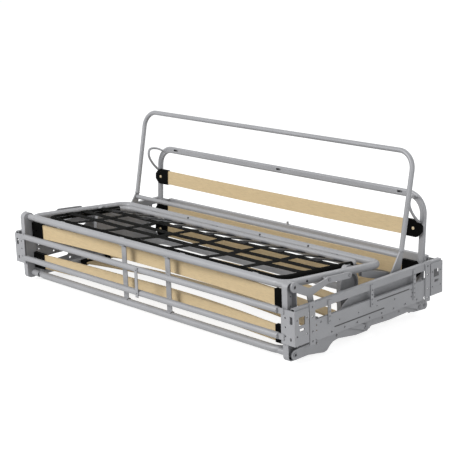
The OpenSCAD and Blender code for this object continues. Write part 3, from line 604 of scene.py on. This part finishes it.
def sag(x, y):
    """How far the net hangs below its loop's plane."""
    inside = min(max((y - LOOP_FRONT) / (ROWS_END + SAG_PAST - LOOP_FRONT), 0), 1)
    return -SAG_DEPTH * (1 - (x / LOOP_HALF) ** 2) * math.sin(math.pi * inside)


def lies_over(i, j):
    """Whether lengthwise strap i lies over crosswise strap j."""
    return (i + j) % 2 == 1


def woven_height(places, heights, at):
    """Height of a strap at a place, easing from one crossing to the next."""
    if at <= places[0]:
        return heights[0]
    for (a, low), (b, high) in zip(zip(places, heights), zip(places[1:], heights[1:])):
        if at <= b:
            share = (at - a) / (b - a)
            return low + (high - low) * (0.5 - 0.5 * math.cos(math.pi * share))
    return heights[-1]


def dip_path(x, y, z):
    """Path from a point of the net down behind it, under the rear bar and up behind it."""
    run = LOOP_REAR - y
    slant = math.degrees(math.atan2(z, run) + math.asin(WEB_MID / math.hypot(run, z)))
    path = []
    for angle in steps(270 - slant, DIP_END, DIP_STEPS):
        turn = math.radians(angle)
        path.append((x, LOOP_REAR + WEB_MID * math.cos(turn), WEB_MID * math.sin(turn)))
    return path


def sleeve_section():
    """Offsets and normals of the hem's middle: a sleeve round the bar, sewn inside."""
    section = []
    for angle in steps(*SLEEVE, HEM_ROUND):
        c, s = math.cos(math.radians(angle)), math.sin(math.radians(angle))
        section.append(((WEB_MID * c, WEB_MID * s), (c, s)))
    return section


def bend(start):
    """Places round one front bend of the loop, with the way inwards at each."""
    side = 1 if start >= 270 else -1
    places = []
    for angle in steps(start, start + 90, HEM_BEND)[1:-1]:
        c, s = math.cos(math.radians(angle)), math.sin(math.radians(angle))
        places.append((side * (LOOP_HALF - LOOP_BEND) + LOOP_BEND * c,
                       LOOP_FRONT + LOOP_BEND + LOOP_BEND * s, (-c, -s), False))
    return places


def hem_places():
    """Places along the loop, from one rear bend round the front to the other.

    Each has the way inwards, and says whether the hem is cut there for a tie.
    """
    def cut(at, ties):
        return any(low <= at < high for low, high in ties)

    ties = [(x - TIE_HALF, x + TIE_HALF) for x in FRONT_LUGS]
    side_tie = (SIDE_TIES[0] - TIE_ROOM, SIDE_TIES[1] + TIE_ROOM)
    straight = LOOP_HALF - LOOP_BEND
    front = steps(-straight, straight, HEM_FRONT) + [end for tie in ties for end in tie]
    side = steps(LOOP_FRONT + LOOP_BEND, LOOP_REAR - LOOP_BEND, HEM_SIDE) + list(side_tie)
    front, side = sorted(set(front)), sorted(set(side))
    places = [(-LOOP_HALF, y, (1, 0), side_tie[0] < y <= side_tie[1]) for y in side[::-1]]
    places += bend(180)
    places += [(x, LOOP_FRONT, (0, 1), cut(x, ties)) for x in front]
    places += bend(270)
    places += [(LOOP_HALF, y, (-1, 0), cut(y, [side_tie])) for y in side]
    return places


def hem(shape, places):
    """Hem on the bars at the places, cut outside where a tie joins the bar."""
    section = sleeve_section()
    grid, normals = [], []
    for x, y, (inx, iny), _ in places:
        grid.append([Vector((x + out * inx, y + out * iny, up)) for (out, up), _ in section])
        normals.append([Vector((out * inx, out * iny, up)) for _, (out, up) in section])

    def keep(i, j):
        out = (section[j][0][0] + section[j + 1][0][0]) / 2
        height = (section[j][0][1] + section[j + 1][0][1]) / 2
        return not (places[i][3] and out < 0 and abs(height) < TIE_OPEN)

    shape.shell(grid, normals, HEM_T, keep)


def add_webbing():
    """The seat's net of straps, its hems round the bars, and its tabs."""
    net = Shape(SEAT)
    low, high = WEB_MID - WEAVE_HALF, WEB_MID + WEAVE_HALF
    start = LOOP_FRONT - STRAP_OVER
    for i, x in enumerate(COLUMNS):
        heights = [high if lies_over(i, j) else low for j in range(len(ROWS))]
        heights = [WEB_TOP + STRAP_RISE, WEB_MID] + heights + [WEB_MID]
        places = [start + STRAP_FLAT, start + STRAP_DOWN] + ROWS + [ROWS_END]
        path = [(x, y, woven_height(places, heights, y) + sag(x, y))
                for y in steps(start, ROWS_END, COLUMN_STEPS)]
        net.ribbon(path + dip_path(x, ROWS_END, path[-1][2]), ALONG, COLUMN_W, STRAP_T)
    end = LOOP_HALF + STRAP_OVER
    for j, y in enumerate(ROWS):
        heights = [low if lies_over(i, j) else high for i in range(len(COLUMNS))]
        heights = [WEB_TOP + STRAP_RISE, WEB_MID] + heights + [WEB_MID, WEB_TOP + STRAP_RISE]
        places = [STRAP_FLAT - end, STRAP_DOWN - end] + COLUMNS + [end - STRAP_DOWN,
                                                                  end - STRAP_FLAT]
        net.ribbon([(x, y, woven_height(places, heights, x) + sag(x, y))
                    for x in steps(-end, end, ROW_STEPS)], (0, -1, 0), ROW_W, STRAP_T)
    net.piece("webbing_net", "seat", MATERIALS["webbing"], ["webbing"])

    edges = Shape(SEAT)
    hem(edges, hem_places())
    edges.piece("webbing_edges", "seat", MATERIALS["webbing"], ["webbing_hems"])

    tabs = Shape(SEAT)
    for x in TABS:
        first = [(x, y, WEB_TOP + TAB_RISE + sag(x, y))
                 for y in steps(ROWS_END - TAB_LAP, ROWS_END, TAB_STEPS)]
        tabs.ribbon(first + dip_path(x, ROWS_END, first[-1][2]), ALONG, TAB_W, STRAP_T)
    tabs.piece("webbing_tabs", "seat", TAB_WEAVE)


def stitch(shape, start, end):
    """A row of short raised stitches from one point of the net to another."""
    start, end = Vector(start), Vector(end)
    along = (end - start).normalized()
    across = Vector((0, 0, 1)).cross(along)
    up = along.cross(across)
    for k in range(int((end - start).length // STITCH_PITCH)):
        centre = start + along * (k + 0.5) * STITCH_PITCH
        rings = []
        for share, rise, width in STITCH_FORM:
            point = centre + along * STITCH_PITCH * STITCH_SHARE * share
            low, high = point - up * STITCH_SUNK, point + up * rise
            rings.append([low - across * width, low + across * width,
                          high + across * width, high - across * width])
        shape.rings(rings)


def add_stitches():
    """Sewn rows on the hems, on the tabs and round the crossings."""
    threads = Shape(SEAT)
    end_top = WEB_TOP + STRAP_RISE + STRAP_T / 2
    reach = COLUMN_W / 2 - HEM_INSET
    for x in COLUMNS:
        for seam in HEM_SEAMS:
            stitch(threads, (x - reach, LOOP_FRONT + seam, end_top),
                   (x + reach, LOOP_FRONT + seam, end_top))
    reach = ROW_W / 2 - HEM_INSET
    for y in ROWS:
        for seam in HEM_SEAMS:
            for side in (-1, 1):
                stitch(threads, (side * (LOOP_HALF - seam), y - reach, end_top),
                       (side * (LOOP_HALF - seam), y + reach, end_top))
    reach = TAB_W / 2 - TAB_INSET
    for x in TABS:
        top = WEB_TOP + TAB_RISE + STRAP_T / 2 + sag(x, ROWS[-1])
        for seam in TAB_SEAMS:
            stitch(threads, (x - reach, ROWS_END - seam, top), (x + reach, ROWS_END - seam, top))
    reach_x, reach_y = COLUMN_W / 2 - HEM_INSET, ROW_W / 2 - HEM_INSET
    for x in COLUMNS:
        for y in ROWS:
            top = WEB_MID + WEAVE_HALF + STRAP_T / 2 + sag(x, y)
            corners = [(x + a * reach_x, y + b * reach_y, top)
                       for a, b in ((-1, -1), (1, -1), (1, 1), (-1, 1))]
            for a, b in zip(corners, corners[1:] + corners[:1]):
                stitch(threads, a, b)
            stitch(threads, corners[0], corners[2])
            stitch(threads, corners[1], corners[3])
    threads.piece("webbing_stitches", "seat", THREADS)


def dome(radius, height):
    """Profile of a rivet's head."""
    return [(radius, -0.4), (radius, 0.25 * height), (0.86 * radius, 0.62 * height),
            (0.6 * radius, 0.88 * height), (0.25 * radius, height)]


def socket_head(radius, height):
    """Profile of a screw's head with its recess."""
    return [(radius, -0.4), (radius, 0.55 * height), (0.82 * radius, height),
            (0.45 * radius, height), (0.38 * radius, 0.35 * height)]


def ring_path(centre, axis, radius):
    axis = Vector(axis).normalized()
    side = axis.orthogonal().normalized()
    return circle(Vector(centre), side, axis.cross(side), radius, RING_STEPS)


def line_path(start, end):
    start, end = Vector(start), Vector(end)
    count = max(int((end - start).length / BEAD_STEP), 2)
    return [start.lerp(end, k / count) for k in range(count + 1)]


def cap_rivets(name, body, place, slats, x, top, upright=False):
    """Rivets that hold the slats in their caps, in the caps' holes."""
    shape = Shape(place)
    for y in slats:
        for side in (-1, 1):
            at = (side * x, -y if upright else y, top)
            shape.lathe(at, (0, 0, 1), [RIVET_STEM] + dome(*RIVET_HEAD))
    shape.piece(name, body, RIVET)


def smooth(corners, count):
    """Curve through the corners, with count steps from each to the next."""
    path = []
    for i, (start, end) in enumerate(zip(corners, corners[1:])):
        before = corners[max(i - 1, 0)]
        after = corners[min(i + 2, len(corners) - 1)]
        for t in steps(0, 1, count)[:-1]:
            path.append(tuple(0.5 * (2 * b + (c - a) * t + (2 * a - 5 * b + 4 * c - d) * t * t
                                     + (3 * b - a - 3 * c + d) * t ** 3)
                              for a, b, c, d in zip(before, start, end, after)))
    return path + [corners[-1]]


def add_corner_rods():
    """Round rods bent out from the head frame's top corners, thicker than the solids."""
    rods = Shape(HEAD)
    for side in (-1, 1):
        path = [Vector((side * x, height, out))
                for x, height, out in smooth(ROD_CURVE, ROD_STEPS)]
        rods.rings([circle(point, ALONG, way(path, i).normalized().cross(ALONG), ROD_R,
                           ROD_SIDES) for i, point in enumerate(path)])
    rods.piece("head_rods", "head", MATERIALS["coated_steel"],
               ["head_corner_rods"])


def add_fasteners():
    """Rivets and screws that the photograph shows or that hold the pieces it shows."""
    cap_rivets("head_rivets", "head", HEAD_FACE, HEAD_SLATS, x=752, top=8.4)
    cap_rivets("middle_rivets", "middle", MIDDLE, MIDDLE_SLATS, x=731.4, top=9.2)
    cap_rivets("panel_rivets", "panel", PANEL, PANEL_SLATS, x=746.7, top=9.0, upright=True)

    screws = Shape(SEAT)
    lean = math.radians(SCREW_LEAN)
    up_back = Vector((0, math.cos(lean), math.sin(lean)))
    places = [(Vector((x, SEAT_LEN, 0)), up_back) for x in REAR_SCREWS]
    places += [(Vector((side * FRAME_HALF, SIDE_SCREW_Y, 0)),
                Vector((side, 0, SIDE_SCREW_RISE)).normalized()) for side in (-1, 1)]
    for centre, out in places:
        screws.lathe(centre + out * (FRAME_R - SCREW_SUNK), out, socket_head(*SCREW_HEAD))
    screws.piece("seat_screws", "seat", DARK_SCREW)

    cage = Shape()
    for side in (-1, 1):
        for y in BEAM_RIVETS:
            cage.lathe((side * SIDE_FACE, y, BEAM_RIVET_Z), (side, 0, 0), dome(*BEAM_RIVET))
        for y in (PANEL_Y - POST_RIVET_IN, CAGE_D - PANEL_Y + POST_RIVET_IN):
            cage.lathe((side * POST_RIVET_X, y, POST_RIVET_Z), (-side, 0, 0), dome(*POST_RIVET))
    cage.piece("cage_rivets", "cage", MATERIALS["zinc"])


def add_welds():
    """Weld beads where tubes, lugs, plates and tongues meet."""
    cage = Shape()
    for side in (-1, 1):
        end, face = side * TUBE_END_X, side * SIDE_WELD_X
        for y, z, half in TUBE_ENDS:
            cage.bead(line_path((end, y, z - half), (end, y, z + half)), TUBE_BEAD)
        for y in POST_EDGES:
            for low, high in POST_SPANS:
                cage.bead(line_path((face, y, low), (face, y, high)), POST_BEAD)
        for y in STRAP_EDGES:
            cage.bead(line_path(*((face, y, z) for z in STRAP_SPAN)), STRAP_BEAD)
    cage.piece("cage_welds", "cage", WELD)

    seat = Shape(SEAT)
    for lugs, edges in ((FRONT_LUGS, FRONT_LUG_EDGES), (REAR_LUGS, REAR_LUG_EDGES)):
        for x in lugs:
            for y in edges:
                ends = ((x + a * LUG_HALF, y, LUG_TOP) for a in (-1, 1))
                seat.bead(line_path(*ends), LUG_BEAD)
    for side in (-1, 1):
        for x in TIE_EDGES:
            seat.bead(line_path(*((side * x, y, LUG_TOP) for y in TIE_SPAN)), LUG_BEAD)
    seat.piece("seat_welds", "seat", WELD)

    back = Shape(BACK)
    for side in (-1, 1):
        for (x, y), axis in CROSS_WELDS:
            centre = (side * x, y, -BACK_OFFSET)
            back.bead(ring_path(centre, axis, CROSS_R), RING_BEAD, closed=True)
    back.piece("backrest_welds", "backrest", WELD)

    middle = Shape(MIDDLE)
    for side in (-1, 1):
        for y in SPACERS:
            centre = (side * SPACER_X, y - PANEL_Y, 0)
            middle.bead(ring_path(centre, ALONG, SPACER_R), RING_BEAD, closed=True)
    middle.piece("middle_welds", "middle", WELD)


def add_floor():
    """A pale floor that looks white to the camera and keeps the part's shadow."""
    mesh = bpy.data.meshes.new("floor")
    corners = ((-1, -1), (1, -1), (1, 1), (-1, 1))
    mesh.from_pydata([(FLOOR_HALF * a, FLOOR_HALF * b, FLOOR_Z) for a, b in corners], [],
                     [(0, 1, 2, 3)])
    floor = bpy.data.objects.new("floor", mesh)
    bpy.context.collection.objects.link(floor)
    m = Nodes("floor")
    m.shader.inputs["Base Color"].default_value = FLOOR_SHADE
    m.set(roughness=0.95, spec=0.0)
    glow = m.add("ShaderNodeEmission")
    rays = m.add("ShaderNodeLightPath")
    seen = m.math("MAXIMUM", rays.outputs["Is Camera Ray"], rays.outputs["Is Glossy Ray"])
    m.link(m.math("MULTIPLY", seen, FLOOR_GLOW), glow.inputs["Strength"])
    both = m.add("ShaderNodeAddShader")
    m.link(m.shader.outputs[0], both.inputs[0])
    m.link(glow.outputs[0], both.inputs[1])
    m.link(both.outputs[0], m.output.inputs["Surface"])
    floor.data.materials.append(m.material)


def add_world():
    """A soft sky that looks plain white to the camera."""
    world = bpy.data.worlds.new("studio")
    bpy.context.scene.world = world
    world.use_nodes = True
    tree = world.node_tree
    tree.nodes.clear()
    out, mix, soft, white, rays, seen = (tree.nodes.new("ShaderNode" + kind) for kind in (
        "OutputWorld", "MixShader", "Background", "Background", "LightPath", "Math"))
    seen.operation = "MAXIMUM"
    soft.inputs["Color"].default_value = SKY
    soft.inputs["Strength"].default_value = SKY_POWER
    white.inputs["Color"].default_value = WHITE
    tree.links.new(rays.outputs["Is Camera Ray"], seen.inputs[0])
    tree.links.new(rays.outputs["Is Glossy Ray"], seen.inputs[1])
    tree.links.new(seen.outputs[0], mix.inputs[0])
    tree.links.new(soft.outputs[0], mix.inputs[1])
    tree.links.new(white.outputs[0], mix.inputs[2])
    tree.links.new(mix.outputs[0], out.inputs["Surface"])


def add_lamps():
    """Soft studio light from the front, the right and behind."""
    for name, place, width, power in LAMPS:
        lamp = bpy.data.lights.new(name, "AREA")
        lamp.size = width
        lamp.energy = power
        holder = bpy.data.objects.new(name, lamp)
        holder.location = place
        holder.rotation_euler = (LAMP_AIM - Vector(place)).to_track_quat("-Z", "Y").to_euler()
        bpy.context.collection.objects.link(holder)


add_camera()
dress_nodes()
add_webbing()
add_stitches()
add_corner_rods()
add_fasteners()
add_welds()
add_floor()
add_world()
add_lamps()
bpy.context.scene.view_settings.view_transform = "Standard"
